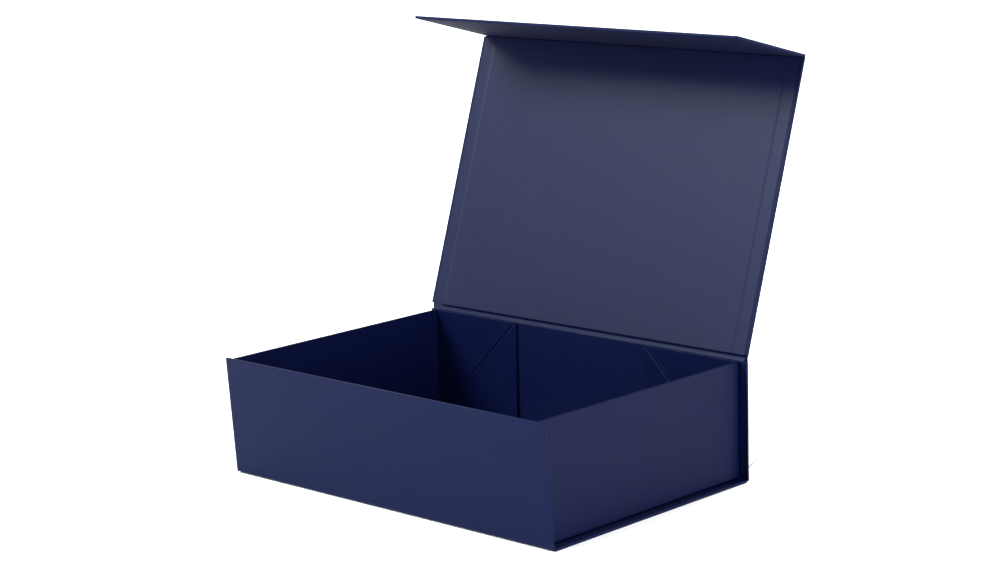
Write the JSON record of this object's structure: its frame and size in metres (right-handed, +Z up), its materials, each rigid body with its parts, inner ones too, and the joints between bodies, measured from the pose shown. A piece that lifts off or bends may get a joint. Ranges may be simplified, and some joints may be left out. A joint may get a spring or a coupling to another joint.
{
  "type": "magnetic closure box",
  "caption": "Folding rigid gift box wrapped in dark blue paper, with a hinged lid and a magnetic closure flap, standing open.",
  "frame": {"origin": "centre of the flat underside of the base", "axes": "+Z up, +Y from the front wall to the spine that carries the lid, +X along the hinge to the right when looking at the front wall"},
  "size_m": [0.35, 0.3209, 0.3586],
  "materials": {
    "wrapping_paper": "satin coated navy paper, fine tooth",
    "lining_paper": "satin coated navy paper, fine tooth",
    "wing_paper": "satin coated navy paper, fine tooth",
    "greyboard": "raw grey recycled board",
    "adhesive_tape": "double-sided tape",
    "magnet": "nickel plated",
    "steel_plate": "bare sheet steel"
  },
  "bodies": {
    "tray": {"spine_board": "greyboard", "base_board": "greyboard", "front_board": "greyboard", "tray_wrap": "wrapping_paper", "tray_liner": "lining_paper", "left_side_board": "greyboard", "right_side_board": "greyboard", "left_tab_board": "greyboard", "right_tab_board": "greyboard", "left_gusset_loose_board": "greyboard", "right_gusset_loose_board": "greyboard", "left_gusset_glued_board": "greyboard", "right_gusset_glued_board": "greyboard", "left_wing_wrap": "wing_paper", "right_wing_wrap": "wing_paper", "left_tape": "adhesive_tape", "right_tape": "adhesive_tape", "left_plate": "steel_plate", "right_plate": "steel_plate"},
    "lid": {"lid_board": "greyboard", "lid_wrap": "wrapping_paper", "lid_liner": "lining_paper"},
    "flap": {"flap_board": "greyboard", "flap_wrap": "wrapping_paper", "flap_liner": "lining_paper", "left_magnet": "magnet", "right_magnet": "magnet"}
  },
  "joints": [
    {"name": "lid_hinge", "type": "hinge", "parent": "tray", "child": "lid", "pos_m": [0, 0.118, 0.1019], "axis": [-1, 0, 0], "range_deg": [-108.5, 95]},
    {"name": "flap_hinge", "type": "hinge", "parent": "lid", "child": "flap", "pos_m": [0, 0.19619, 0.33559], "axis": [1, 0, 0], "range_deg": [-170, 0]}
  ]
}
